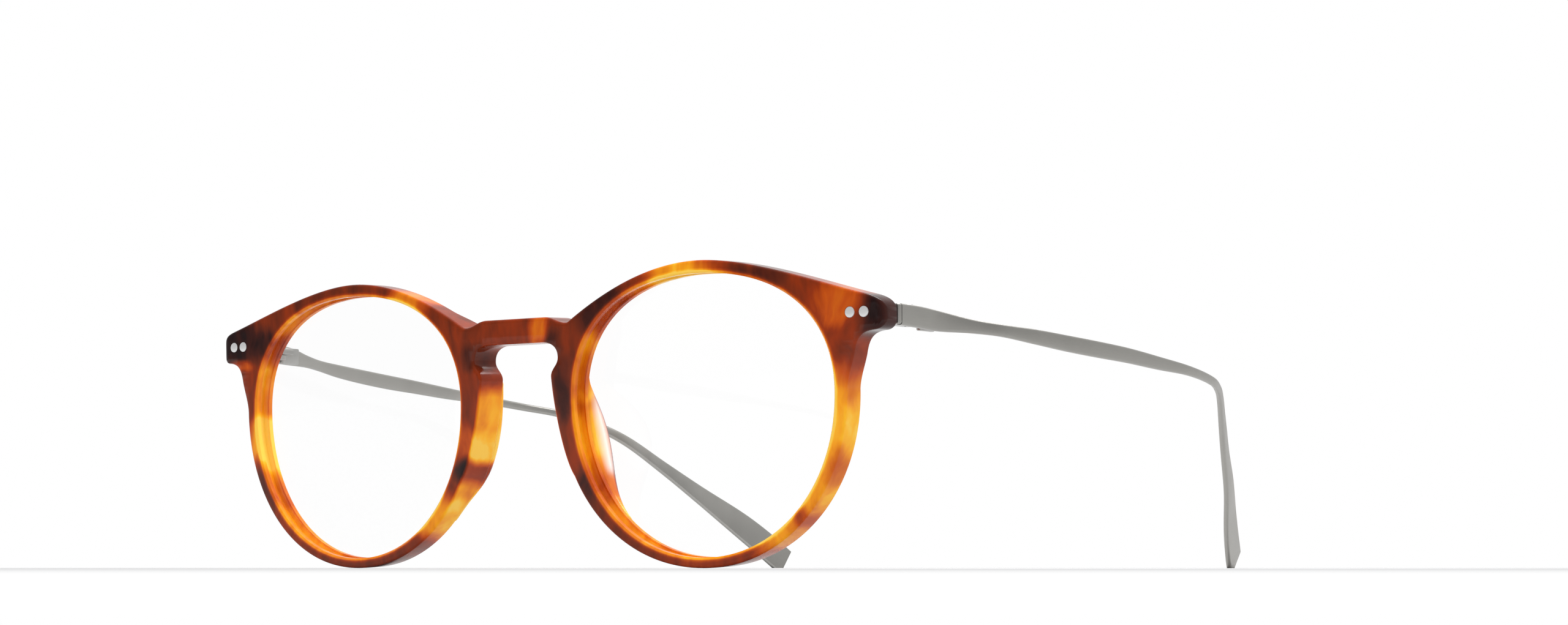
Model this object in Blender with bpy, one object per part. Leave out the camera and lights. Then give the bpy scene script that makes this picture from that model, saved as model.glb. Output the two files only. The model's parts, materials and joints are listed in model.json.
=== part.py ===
"""Round full-rim eyeglasses: an acetate front with a keyhole bridge and bonded nose pads,
two clear lenses, riveted three-knuckle hinges and flat titanium temples.

Metres, +Z up. The front faces -Y, the temples run back along +Y, and the model stands on
its two rims and its two temple tips. "right" is the +X side, "left" is the -X side."""
import math

import bmesh
import bpy
from mathutils import Matrix, Vector

MM = 0.001

# Front: the eye openings, the gap between them, and the acetate left around them
EYE_WIDTH = 47.0 * MM
EYE_HEIGHT = 42.2 * MM
BRIDGE_GAP = 23.0 * MM
RIM_BOTTOM = 1.55 * MM
RIM_TOP = 1.95 * MM
RIM_SIDE = 2.1 * MM
FRONT_THICKNESS = 4.0 * MM
FRONT_EDGE = 0.4 * MM
BRIDGE_SWELL = 1.7 * MM
WRAP_RADIUS = 760.0 * MM
LEAN = math.radians(2.4)

# Bridge bar, keyhole and nose side, measured down from the top of the bar
BAR_DROP = 7.15 * MM
BAR_HEIGHT = 3.9 * MM
KEYHOLE_HALF = 8.5 * MM
KEYHOLE_HEIGHT = 5.3 * MM
KEYHOLE_PINCH = 1.4 * MM

# End pieces, beside the top of each rim
END_REACH = 8.35 * MM
END_HEIGHT = 5.3 * MM
END_RISE = 10.9 * MM
END_CORNER = 1.9 * MM

# Nose pads: blocks bonded behind the nose side of each rim
PAD_DEPTH = 4.6 * MM
PAD_HEIGHT = 15.4 * MM
PAD_THINNEST = 0.3 * MM

# Lenses in their grooves
LENS_THICKNESS = 1.6 * MM
LENS_EDGE = 0.45 * MM
LENS_INSET = 0.7 * MM

# Hinges: a plate let into the back of the end piece, arms, and three knuckles on a screw
PLATE_WIDTH = 5.6 * MM
PLATE_THICKNESS = 1.1 * MM
PLATE_MARGIN = 0.35 * MM
PLATE_SINK = 0.5 * MM
ARM_LENGTH = 6.3 * MM
KNUCKLE_RADIUS = 1.25 * MM
KNUCKLE_HEIGHT = 0.85 * MM
KNUCKLE_GAP = 0.15 * MM
LEAF_LENGTH = 3.8 * MM
LEAF_THICKNESS = 0.85 * MM
LEAF_DROP = 1.95 * MM
LEAF_RISE = 0.8 * MM
SCREW_RADIUS = 0.45 * MM
SCREW_HEAD = 0.8 * MM
SCREW_HEAD_HEIGHT = 0.3 * MM
RIVET_RADIUS = 0.8 * MM
RIVET_PITCH = 2.3 * MM
RIVET_PROUD = 0.08 * MM

# Temples
TEMPLE_REACH = 133.6 * MM
STRAP_THICKNESS = 1.1 * MM
TIP_THICKNESS = 0.95 * MM

# Clearances
BOND_GAP = 0.3 * MM
GROOVE_GAP = 0.2 * MM
SEAT_GAP = 0.2 * MM
PIN_GAP = 0.15 * MM
STOP_GAP = 0.3 * MM

SIDES = {"right": 1, "left": -1}

# Each station of a temple's centre line: share of its reach, share of the hinge height,
# how far its outer face lies outside the hinge end, and half of its blade height
TEMPLE_STATIONS = (
    (0.000, 1.000, 0.0 * MM, 1.55 * MM), (0.043, 0.996, 0.0 * MM, 1.60 * MM),
    (0.080, 0.988, 0.2 * MM, 1.52 * MM), (0.125, 0.975, 2.1 * MM, 1.04 * MM),
    (0.165, 0.964, 4.1 * MM, 0.92 * MM), (0.215, 0.948, 5.8 * MM, 1.12 * MM),
    (0.271, 0.931, 6.9 * MM, 1.24 * MM), (0.329, 0.916, 7.9 * MM, 1.26 * MM),
    (0.389, 0.902, 8.6 * MM, 1.18 * MM), (0.458, 0.882, 8.9 * MM, 1.04 * MM),
    (0.535, 0.862, 8.9 * MM, 0.78 * MM), (0.611, 0.833, 7.5 * MM, 0.68 * MM),
    (0.664, 0.806, 4.9 * MM, 0.68 * MM), (0.703, 0.767, 2.5 * MM, 0.75 * MM),
    (0.758, 0.674, -1.1 * MM, 0.95 * MM), (0.814, 0.534, -4.6 * MM, 1.20 * MM),
    (0.871, 0.388, -8.0 * MM, 1.75 * MM), (0.930, 0.230, -12.0 * MM, 2.60 * MM),
    (0.970, 0.117, -14.5 * MM, 2.85 * MM), (1.000, 0.027, -16.2 * MM, 2.85 * MM),
)
STEPS_PER_STATION = 3

# Sizes that follow from the ones above
EYE_CENTRE = BRIDGE_GAP / 2 + EYE_WIDTH / 2
EYE_WAIST = RIM_BOTTOM + 0.575 * EYE_HEIGHT
EYE_TOP = RIM_BOTTOM + EYE_HEIGHT
FRONT_TOP = EYE_TOP + RIM_TOP
HALF_FRONT = BRIDGE_GAP / 2 + EYE_WIDTH + END_REACH
BAR_TOP = FRONT_TOP - BAR_DROP
BAR_UNDER = BAR_TOP - BAR_HEIGHT
PINCH = BAR_UNDER - KEYHOLE_HEIGHT
PINCH_HALF = KEYHOLE_HALF - KEYHOLE_PINCH
HINGE_HEIGHT = EYE_WAIST + END_RISE
HINGE_STACK = 3 * KNUCKLE_HEIGHT + 2 * KNUCKLE_GAP
PLATE_HEIGHT = HINGE_STACK + 2 * PLATE_MARGIN
CHIN = (BRIDGE_GAP / 2 - 0.1 * MM, PINCH - PAD_HEIGHT)


def remove_everything():
    for old in list(bpy.data.objects):
        bpy.data.objects.remove(old, do_unlink=True)


def make_collection(name):
    collection = bpy.data.collections.new(name)
    bpy.context.scene.collection.children.link(collection)
    return collection


def make_material(name, colour, roughness, metallic=0.0, transmission=0.0):
    material = bpy.data.materials.new(name)
    material.use_nodes = True
    shader = material.node_tree.nodes["Principled BSDF"]
    shader.inputs["Base Color"].default_value = (*colour, 1.0)
    shader.inputs["Roughness"].default_value = roughness
    shader.inputs["Metallic"].default_value = metallic
    shader.inputs["Transmission Weight"].default_value = transmission
    return material


def add_object(name, mesh, collection, material=None):
    piece = bpy.data.objects.new(name, mesh)
    collection.objects.link(piece)
    if material:
        mesh.materials.clear()
        mesh.materials.append(material)
        mesh.shade_smooth()
        mesh.set_sharp_from_angle(angle=math.radians(35))
    return piece


def add_cutter(name, mesh):
    cutter = add_object(name, mesh, CUTTERS)
    cutter.hide_render = True
    cutter.display_type = "WIRE"
    return cutter


def boolean(piece, tool, operation="DIFFERENCE"):
    step = piece.modifiers.new(tool.name, "BOOLEAN")
    step.operation = operation
    step.object = tool
    step.solver = "EXACT"


# ---- outlines in the plane of the front: u across, w up from the bottom of the rims ----

def bezier(start, lead, trail, end, steps):
    """The points of one cubic curve, without its last point."""
    points = []
    for i in range(steps):
        t = i / steps
        s = 1 - t
        points.append(tuple(s**3 * a + 3 * s * s * t * b + 3 * s * t * t * c + t**3 * d
                            for a, b, c, d in zip(start, lead, trail, end)))
    return points


def eye_loop(side, steps=11):
    """The edge of one eye opening, anticlockwise from its temple side."""
    half = EYE_WIDTH / 2
    up = EYE_TOP - EYE_WAIST
    down = EYE_WAIST - RIM_BOTTOM
    right = (half, 0)
    top = (0, up)
    left = (-half, 0)
    bottom = (0, -down)
    full_top = 0.62
    full_bottom = 0.575
    loop = bezier(right, (half, up * full_top), (half * full_top, up), top, steps)
    loop += bezier(top, (-half * full_top, up), (-half, up * full_top), left, steps)
    loop += bezier(left, (-half, -down * full_bottom), (-half * full_bottom, -down), bottom, steps)
    loop += bezier(bottom, (half * full_bottom, -down), (half, -down * full_bottom), right, steps)
    return [(side * (EYE_CENTRE + u), EYE_WAIST + w) for u, w in loop]


def offset_loop(loop, distance):
    """A closed loop moved along its outward normals, for a convex loop."""
    centre = Vector((sum(u for u, _ in loop), sum(w for _, w in loop))) / len(loop)
    moved = []
    for i, point in enumerate(loop):
        along = Vector(loop[(i + 1) % len(loop)]) - Vector(loop[i - 1])
        normal = Vector((along.y, -along.x)).normalized()
        if normal.dot(Vector(point) - centre) < 0:
            normal = -normal
        moved.append(tuple(Vector(point) + normal * distance))
    return moved


def half_outline():
    """The +X half of the front's outline, from the middle of the bar's top, clockwise."""
    apex = (EYE_CENTRE, FRONT_TOP)
    bottom = (EYE_CENTRE, 0.0)
    bar_end = (PINCH_HALF - 1.2 * MM, BAR_TOP)
    notch = (BRIDGE_GAP / 2 - 0.95 * MM, BAR_TOP - 0.95 * MM)
    end_top = HINGE_HEIGHT + END_HEIGHT / 2
    end_low = HINGE_HEIGHT - END_HEIGHT / 2
    brow = (HALF_FRONT - 1.5 * END_CORNER, end_top)
    side_top = (HALF_FRONT, end_top - 1.25 * END_CORNER)
    side_low = (HALF_FRONT, end_low + 0.85 * END_CORNER)
    under = (HALF_FRONT - 0.9 * END_CORNER, end_low)
    waist = (HALF_FRONT - END_REACH + RIM_SIDE, EYE_WAIST)
    fillet = (waist[0] + 1.3 * MM, end_low - 3.3 * MM)
    pinch = (PINCH_HALF, PINCH)
    bulge = (KEYHOLE_HALF, PINCH + 0.55 * KEYHOLE_HEIGHT)
    bar_low = (KEYHOLE_HALF - 3.2 * MM, BAR_UNDER)
    path = [(0.0, BAR_TOP)]
    path += bezier(bar_end, (bar_end[0] + 1.8 * MM, BAR_TOP),
                   (notch[0] - 1.6 * MM, notch[1] - 0.3 * MM), notch, 5)
    path += bezier(notch, (notch[0] + 6.8 * MM, notch[1] + 4.2 * MM),
                   (apex[0] - 9.2 * MM, FRONT_TOP), apex, 11)
    path += bezier(apex, (apex[0] + 8.8 * MM, FRONT_TOP),
                   (brow[0] - 8.6 * MM, brow[1] + 2.3 * MM), brow, 13)
    path += bezier(brow, (brow[0] + 1.9 * MM, brow[1] - 0.5 * MM),
                   (HALF_FRONT, side_top[1] + 1.1 * MM), side_top, 5)
    path += bezier(side_top, side_top, side_low, side_low, 1)
    path += bezier(side_low, (HALF_FRONT, side_low[1] - 1.0 * MM),
                   (under[0] + 1.0 * MM, end_low), under, 4)
    path += bezier(under, (under[0] - 2.1 * MM, end_low - 0.2 * MM),
                   (fillet[0] + 0.4 * MM, fillet[1] + 2.2 * MM), fillet, 6)
    path += bezier(fillet, (fillet[0] - 0.4 * MM, fillet[1] - 1.6 * MM),
                   (waist[0] + 0.1 * MM, waist[1] + 1.6 * MM), waist, 3)
    path += bezier(waist, (waist[0], 0.45 * EYE_WAIST),
                   (EYE_CENTRE + 0.6 * (waist[0] - EYE_CENTRE), 0.0), bottom, 18)
    path += under_nose() + nose_side()
    path += bezier(pinch, (PINCH_HALF, PINCH + 1.3 * MM),
                   (KEYHOLE_HALF, bulge[1] - 1.2 * MM), bulge, 4)
    path += bezier(bulge, (KEYHOLE_HALF, bulge[1] + 1.7 * MM),
                   (bar_low[0] + 1.7 * MM, BAR_UNDER), bar_low, 5)
    path += [bar_low, (0.0, BAR_UNDER)]
    return path


def under_nose(steps=12):
    """The rim's edge from its bottom up to the chin of the pad."""
    return bezier((EYE_CENTRE, 0.0), (EYE_CENTRE - 0.5 * EYE_WIDTH / 2, 0.0),
                  (CHIN[0] + 3.6 * MM, CHIN[1] - 7.3 * MM), CHIN, steps)


def nose_side(steps=8):
    """The edge beside the nose, from the chin of the pad up to the keyhole."""
    return bezier(CHIN, (CHIN[0] - 2.0 * MM, CHIN[1] + 0.16 * PAD_HEIGHT),
                  (PINCH_HALF + 0.4 * MM, PINCH - 0.32 * PAD_HEIGHT), (PINCH_HALF, PINCH), steps)


def mirrored(path):
    """A half outline closed over the middle."""
    return path + [(-u, w) for u, w in reversed(path[1:-1])]


def plate_mesh(name, loops, thickness, edge):
    """Loops filled as a flat plate with bevelled edges: u is x, w is y, the middle is z = 0."""
    curve = bpy.data.curves.new(name, "CURVE")
    curve.dimensions = "2D"
    curve.fill_mode = "BOTH"
    curve.extrude = thickness / 2 - edge
    curve.bevel_depth = edge
    curve.bevel_resolution = 0
    curve.offset = -edge
    for loop in loops:
        spline = curve.splines.new("POLY")
        spline.points.add(len(loop) - 1)
        for point, (u, w) in zip(spline.points, loop):
            point.co = (u, w, 0.0, 1.0)
        spline.use_cyclic_u = True
    holder = bpy.data.objects.new(name, curve)
    bpy.context.scene.collection.objects.link(holder)
    bpy.context.view_layer.update()
    evaluated = holder.evaluated_get(bpy.context.evaluated_depsgraph_get())
    mesh = bpy.data.meshes.new_from_object(evaluated)
    mesh.name = name
    bpy.data.objects.remove(holder, do_unlink=True)
    work = bmesh.new()
    work.from_mesh(mesh)
    bmesh.ops.remove_doubles(work, verts=work.verts, dist=0.001 * MM)
    bmesh.ops.recalc_face_normals(work, faces=work.faces)
    work.to_mesh(mesh)
    work.free()
    return mesh


def from_front(u, w, depth):
    """A place on the wrapped and leaning front, depth behind its front face."""
    back = depth + u * u / (2 * WRAP_RADIUS)
    return Vector((u, back * math.cos(LEAN) - w * math.sin(LEAN),
                   back * math.sin(LEAN) + w * math.cos(LEAN)))


def wrap(mesh, middle_depth):
    """Bends a flat plate onto the front: its z runs forwards from middle_depth."""
    for vertex in mesh.vertices:
        u, w, forward = vertex.co
        vertex.co = from_front(u, w, middle_depth - forward)
    mesh.update()
    return mesh


def smooth(share):
    """A soft step from 0 to 1."""
    share = min(1.0, max(0.0, share))
    return share * share * (3 - 2 * share)


def eye_distance(u, w):
    """How far a place in the plane of the front lies from the nearer eye opening's edge."""
    place = Vector((abs(u), w))
    loop = [Vector(point) for point in eye_loop(1)]
    nearest = 1.0
    for start, end in zip(loop, loop[1:] + loop[:1]):
        along = end - start
        share = min(1.0, max(0.0, (place - start).dot(along) / along.length_squared))
        nearest = min(nearest, (place - start - along * share).length)
    return nearest


def swell(u, w):
    """How much thicker the acetate is behind the bridge and beside the nose."""
    sideways = smooth((BRIDGE_GAP / 2 + 4.5 * MM - abs(u)) / (5 * MM))
    upwards = smooth((w - CHIN[1] + 6 * MM) / (6 * MM))
    return BRIDGE_SWELL * sideways * upwards * smooth(eye_distance(u, w) / (2.2 * MM))


def box_mesh(name, low, high):
    """A box between two corners."""
    work = bmesh.new()
    size = [high[i] - low[i] for i in range(3)]
    middle = [(high[i] + low[i]) / 2 for i in range(3)]
    matrix = Matrix.Translation(middle) @ Matrix.Diagonal((*size, 1.0))
    bmesh.ops.create_cube(work, size=1.0, matrix=matrix)
    mesh = bpy.data.meshes.new(name)
    work.to_mesh(mesh)
    work.free()
    return mesh


def pin_mesh(name, radius, start, end, segments=20):
    """A cylinder between two points."""
    axis = Vector(end) - Vector(start)
    turn = axis.to_track_quat("Z", "Y").to_matrix().to_4x4()
    matrix = Matrix.Translation((Vector(start) + Vector(end)) / 2) @ turn
    work = bmesh.new()
    bmesh.ops.create_cone(work, cap_ends=True, segments=segments, radius1=radius,
                          radius2=radius, depth=axis.length, matrix=matrix)
    mesh = bpy.data.meshes.new(name)
    work.to_mesh(mesh)
    work.free()
    return mesh


# ---- places that the hinge, the rivets and the temple share ----

STRAP_OUTER = HALF_FRONT - 0.1 * MM
AXIS_X = STRAP_OUTER - STRAP_THICKNESS - PIN_GAP - KNUCKLE_RADIUS
PLATE_OUT = HALF_FRONT - 1.1 * MM
PLATE_IN = PLATE_OUT - PLATE_WIDTH
SEAT_Y = from_front(PLATE_IN, HINGE_HEIGHT, FRONT_THICKNESS).y - PLATE_SINK
END_BACK_Y = from_front(HALF_FRONT, HINGE_HEIGHT - END_HEIGHT / 2, FRONT_THICKNESS).y
PLATE_BACK_Y = SEAT_Y + SEAT_GAP + PLATE_THICKNESS
AXIS_Y = PLATE_BACK_Y + ARM_LENGTH
RIVET_OUT_X = HALF_FRONT - 3.05 * MM
RIVET_Z = HINGE_HEIGHT + 0.1 * MM


def knuckle_levels():
    """The bottom and top of each knuckle, lowest first."""
    lowest = HINGE_HEIGHT - HINGE_STACK / 2
    step = KNUCKLE_HEIGHT + KNUCKLE_GAP
    return [(lowest + i * step, lowest + i * step + KNUCKLE_HEIGHT) for i in range(3)]


def tongue_mesh(name, side, back_y, width_in, width_out, level):
    """A flat tongue that ends in a round knuckle on the axis, seen from above."""
    bow = [(KNUCKLE_RADIUS * math.cos(a), KNUCKLE_RADIUS * math.sin(a))
           for a in (math.radians(10 * i) for i in range(0, 19))]
    forwards = 1 if back_y < AXIS_Y else -1
    loop = [(AXIS_X + x, AXIS_Y + forwards * y) for x, y in bow]
    loop += [(AXIS_X - width_in, back_y), (AXIS_X + width_out, back_y)]
    mesh = plate_mesh(name, [loop], level[1] - level[0], 0.0)
    for vertex in mesh.vertices:
        vertex.co = (side * vertex.co.x, vertex.co.y, vertex.co.z + (level[0] + level[1]) / 2)
    if side < 0:
        mesh.flip_normals()
    return mesh


def build_front():
    """The acetate front: outline and eyes, lens grooves, hinge seats and rivet holes."""
    loops = [mirrored(half_outline()), eye_loop(1), eye_loop(-1)]
    mesh = plate_mesh("front_frame", loops, FRONT_THICKNESS, FRONT_EDGE)
    for vertex in mesh.vertices:
        if vertex.co.z < 0:
            vertex.co.z -= swell(vertex.co.x, vertex.co.y)
    front = add_object("front_frame", wrap(mesh, FRONT_THICKNESS / 2), PARTS, ACETATE)
    for name, side in SIDES.items():
        ring = offset_loop(eye_loop(side), LENS_INSET + GROOVE_GAP)
        groove = plate_mesh("groove_" + name, [ring], LENS_THICKNESS + 2 * GROOVE_GAP, LENS_EDGE)
        boolean(front, add_cutter("groove_" + name, wrap(groove, FRONT_THICKNESS / 2)))
        low = (PLATE_IN - PIN_GAP, SEAT_Y, HINGE_HEIGHT - PLATE_HEIGHT / 2 - PIN_GAP)
        high = (PLATE_OUT + PIN_GAP, SEAT_Y + 9 * MM, HINGE_HEIGHT + PLATE_HEIGHT / 2 + PIN_GAP)
        seat = box_mesh("seat_" + name, *side_corners(low, high, side))
        boolean(front, add_cutter("seat_" + name, seat))
        for place, x in rivet_places():
            hole = pin_mesh("hole", RIVET_RADIUS + PIN_GAP, (side * x, -9 * MM, RIVET_Z),
                            (side * x, SEAT_Y + 2 * MM, RIVET_Z), 20)
            boolean(front, add_cutter("hole_" + place + "_" + name, hole))
    return front


def side_corners(low, high, side):
    """Two corners of a box on the +X side, or their mirror image."""
    if side > 0:
        return low, high
    return (-high[0], low[1], low[2]), (-low[0], high[1], high[2])


def rivet_places():
    return (("outer", RIVET_OUT_X), ("inner", RIVET_OUT_X - RIVET_PITCH))


def build_pad(name, side):
    """One nose pad: a wedge behind the rim's nose side, with its ridge beside the eye."""
    nose = under_nose()[8:] + nose_side() + [(PINCH_HALF + 0.1 * MM, PINCH - 0.1 * MM)]
    foot = nose[0][1]
    rings = []
    for u, w in nose:
        share = min(1.0, (w - foot) / (PINCH - foot - 0.7 * MM))
        rise = math.sin(math.pi * share ** 1.25)
        nose_root = FRONT_THICKNESS + swell(u, w) + BOND_GAP
        eye_root = FRONT_THICKNESS + BOND_GAP
        nose_back = nose_root + PAD_THINNEST + 0.6 * MM * rise
        middle_back = (nose_root + eye_root) / 2 + PAD_THINNEST + 0.6 * PAD_DEPTH * rise
        ridge = eye_root + PAD_THINNEST + (PAD_DEPTH - PAD_THINNEST) * rise
        near, far = u + 0.15 * MM, eye_edge(w) - 0.15 * MM
        rings.append([
            (near, w, nose_root), (near, w, nose_root + 0.6 * (nose_back - nose_root)),
            (near + 0.4 * MM, w, nose_back), ((near + far) / 2, w, middle_back),
            (far - 0.7 * MM, w, ridge), (far, w, eye_root + 0.8 * (ridge - eye_root)),
            (far, w, eye_root)])
    mesh = loft_mesh("nose_pad_" + name, [[from_front(side * u, w, d) for u, w, d in ring]
                                          for ring in rings])
    return add_object("nose_pad_" + name, mesh, PARTS, ACETATE_PAD)


def eye_edge(height):
    """How far out the nose side of the eye opening lies at a height."""
    loop = eye_loop(1)
    nose = [point for point in loop if point[0] < EYE_CENTRE]
    for (u0, w0), (u1, w1) in zip(nose, nose[1:]):
        if w1 <= height <= w0:
            return u0 + (u1 - u0) * (w0 - height) / (w0 - w1)
    return EYE_CENTRE - EYE_WIDTH / 2


def loft_mesh(name, rings):
    """A closed skin over rings of equal length, capped at both ends."""
    work = bmesh.new()
    rows = [[work.verts.new(point) for point in ring] for ring in rings]
    count = len(rings[0])
    for row, following in zip(rows, rows[1:]):
        for i in range(count):
            work.faces.new((row[i], row[(i + 1) % count], following[(i + 1) % count], following[i]))
    work.faces.new(rows[0])
    work.faces.new(rows[-1])
    bmesh.ops.recalc_face_normals(work, faces=work.faces)
    mesh = bpy.data.meshes.new(name)
    work.to_mesh(mesh)
    work.free()
    return mesh


def build_lens(name, side):
    """A lens that follows the eye opening and sits in its groove."""
    ring = offset_loop(eye_loop(side), LENS_INSET)
    mesh = plate_mesh("lens_" + name, [ring], LENS_THICKNESS, LENS_EDGE)
    return add_object("lens_" + name, wrap(mesh, FRONT_THICKNESS / 2), PARTS, GLASS)


def build_front_hinge(name, side):
    """The riveted leaf: a plate with an upper and a lower arm."""
    low = (PLATE_IN, SEAT_Y + SEAT_GAP, HINGE_HEIGHT - PLATE_HEIGHT / 2)
    high = (PLATE_OUT, PLATE_BACK_Y, HINGE_HEIGHT + PLATE_HEIGHT / 2)
    corners = side_corners(low, high, side)
    leaf = add_object("hinge_plate_" + name, box_mesh("hinge_plate", *corners), PARTS, STEEL)
    for place, x in rivet_places():
        hole = pin_mesh("pin_hole", RIVET_RADIUS + PIN_GAP, (side * x, SEAT_Y, RIVET_Z),
                        (side * x, PLATE_BACK_Y + 1 * MM, RIVET_Z), 20)
        boolean(leaf, add_cutter("pin_hole_" + place + "_" + name, hole))
    levels = knuckle_levels()
    for place, level in (("lower", levels[0]), ("upper", levels[2])):
        root = PLATE_BACK_Y - 0.4 * PLATE_THICKNESS
        inset = PLATE_OUT - AXIS_X - 0.05 * MM
        arm = tongue_mesh("arm", side, root, KNUCKLE_RADIUS, min(KNUCKLE_RADIUS, inset), level)
        boolean(leaf, add_cutter("arm_" + place + "_" + name, arm), "UNION")
    boolean(leaf, screw_hole("front_" + name, side))
    return leaf


def screw_hole(name, side):
    top = HINGE_HEIGHT + HINGE_STACK
    hole = pin_mesh("screw_hole", SCREW_RADIUS + PIN_GAP, (side * AXIS_X, AXIS_Y, 0.3 * HINGE_HEIGHT),
                    (side * AXIS_X, AXIS_Y, top), 16)
    return add_cutter("screw_hole_" + name, hole)


def build_temple_hinge(name, side):
    """The temple's leaf: the middle knuckle and a pad brazed inside the strap."""
    level = knuckle_levels()[1]
    face = STRAP_OUTER - STRAP_THICKNESS - PIN_GAP
    start = AXIS_Y + KNUCKLE_RADIUS + 2 * PIN_GAP
    low = (face - LEAF_THICKNESS, start, HINGE_HEIGHT - LEAF_DROP)
    high = (face, start + LEAF_LENGTH, HINGE_HEIGHT + LEAF_RISE)
    leaf = add_object("temple_hinge_" + name, box_mesh("leaf", *side_corners(low, high, side)),
                      PARTS, STEEL)
    tongue = tongue_mesh("middle_knuckle", side, start + 0.8 * MM, KNUCKLE_RADIUS,
                         face - AXIS_X - 0.02 * MM, level)
    boolean(leaf, add_cutter("middle_knuckle_" + name, tongue), "UNION")
    boolean(leaf, screw_hole("temple_" + name, side))
    return leaf


def build_screw(name, side):
    """The hinge screw: a slotted head on the top knuckle and a pin through all three."""
    top = knuckle_levels()[2][1] + PIN_GAP
    low = knuckle_levels()[0][0]
    pin = pin_mesh("screw", SCREW_RADIUS, (side * AXIS_X, AXIS_Y, low),
                   (side * AXIS_X, AXIS_Y, top + SCREW_HEAD_HEIGHT / 2), 16)
    screw = add_object("hinge_screw_" + name, pin, PARTS, RIVET_METAL)
    head = pin_mesh("screw_head", SCREW_HEAD, (side * AXIS_X, AXIS_Y, top),
                    (side * AXIS_X, AXIS_Y, top + SCREW_HEAD_HEIGHT), 20)
    boolean(screw, add_cutter("screw_head_" + name, head), "UNION")
    slot = box_mesh("slot", (side * AXIS_X - 2 * MM, AXIS_Y - 0.12 * MM, top + 0.5 * SCREW_HEAD_HEIGHT),
                    (side * AXIS_X + 2 * MM, AXIS_Y + 0.12 * MM, top + 2 * MM))
    boolean(screw, add_cutter("slot_" + name, slot))
    return screw


def build_rivet(name, side, place, x):
    """A shield pin: flush in the front face, peened behind the hinge plate."""
    front_y = from_front(x, RIVET_Z, 0.0).y - RIVET_PROUD
    mesh = pin_mesh("rivet", RIVET_RADIUS, (side * x, front_y, RIVET_Z),
                    (side * x, PLATE_BACK_Y - PIN_GAP - 0.4 * PLATE_THICKNESS, RIVET_Z))
    return add_object("rivet_" + place + "_" + name, mesh, PARTS, RIVET_METAL)


def smooth_stations():
    """Points between the stations, on a curve that passes through each of them."""
    stations = [Vector(s) for s in TEMPLE_STATIONS]
    result = []
    for i in range(len(stations) - 1):
        before = stations[max(i - 1, 0)]
        start, end = stations[i], stations[i + 1]
        after = stations[min(i + 2, len(stations) - 1)]
        span = end[0] - start[0]
        leave = (end - before) * (span / max(end[0] - before[0], 1e-9))
        arrive = (after - start) * (span / max(after[0] - start[0], 1e-9))
        for step in range(STEPS_PER_STATION):
            t = step / STEPS_PER_STATION
            result.append(start * (2 * t**3 - 3 * t**2 + 1) + leave * (t**3 - 2 * t**2 + t)
                          + end * (3 * t**2 - 2 * t**3) + arrive * (t**3 - t**2))
    result.append(stations[-1])
    return result


def temple_section(centre, along, half, thickness, side):
    """An eight-sided ring: a flat blade with chamfered edges, across the centre line."""
    outward = Vector((side, 0, 0))
    outward = (outward - along * outward.dot(along)).normalized()
    up = along.cross(outward).normalized() * side
    chamfer = 0.28 * thickness
    flat = half - chamfer
    corners = ((0, flat), (-chamfer, half), (chamfer - thickness, half), (-thickness, flat),
               (-thickness, -flat), (chamfer - thickness, -half), (-chamfer, -half), (0, -flat))
    return [centre + outward * out + up * rise for out, rise in corners]


def build_temple(name, side):
    """A flat titanium strap: blade, waist, ear bend and a spatula tip trimmed to the floor."""
    start_y = END_BACK_Y + STOP_GAP
    points = []
    for share, height, bow, half in smooth_stations():
        centre = Vector((side * (STRAP_OUTER + bow), start_y + share * TEMPLE_REACH,
                         height * HINGE_HEIGHT))
        points.append((centre, half, share))
    rings = []
    for i, (centre, half, share) in enumerate(points):
        along = points[min(i + 1, len(points) - 1)][0] - points[max(i - 1, 0)][0]
        if share < 0.09:
            along = Vector((0, 1, 0))
        thickness = STRAP_THICKNESS + (TIP_THICKNESS - STRAP_THICKNESS) * share
        rings.append(temple_section(centre, along.normalized(), half, thickness, side))
    temple = add_object("temple_" + name, loft_mesh("temple_" + name, rings), PARTS, TITANIUM)
    low = (0.3 * STRAP_OUTER, start_y, -20 * MM)
    high = (2.0 * STRAP_OUTER, start_y + 1.3 * TEMPLE_REACH, 0.0)
    boolean(temple, add_cutter("floor_" + name, box_mesh("floor", *side_corners(low, high, side))))
    return temple


def stand_on_origin():
    """Moves every piece and cutter so that the origin is under the middle of the model."""
    bpy.context.view_layer.update()
    graph = bpy.context.evaluated_depsgraph_get()
    low, high = [], []
    for piece in PARTS.objects:
        mesh = piece.evaluated_get(graph).to_mesh()
        places = [vertex.co.y for vertex in mesh.vertices]
        low.append(min(places))
        high.append(max(places))
    shift = Vector((0, -(min(low) + max(high)) / 2, 0))
    for piece in list(PARTS.objects) + list(CUTTERS.objects):
        piece.location += shift
    return shift


def put_origin_on_axis(name, side, shift):
    """Gives the moving pieces of one side their origin on the hinge axis."""
    axis = Vector((side * AXIS_X, AXIS_Y, HINGE_HEIGHT))
    for piece in (PARTS.objects["temple_" + name], PARTS.objects["temple_hinge_" + name]):
        piece.data.transform(Matrix.Translation(-axis))
        piece.location = axis + shift


remove_everything()
PARTS = make_collection("round_eyeglasses")
CUTTERS = make_collection("cutters")
ACETATE = make_material("tortoise_acetate", (0.30, 0.075, 0.012), 0.12)
ACETATE_PAD = make_material("honey_acetate", (0.72, 0.30, 0.03), 0.15)
GLASS = make_material("clear_lens", (0.95, 0.97, 0.96), 0.02, transmission=1.0)
STEEL = make_material("hinge_steel", (0.52, 0.52, 0.50), 0.30, 1.0)
RIVET_METAL = make_material("rivet_silver", (0.80, 0.80, 0.80), 0.22, 1.0)
TITANIUM = make_material("satin_titanium", (0.40, 0.40, 0.375), 0.42, 1.0)

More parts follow.
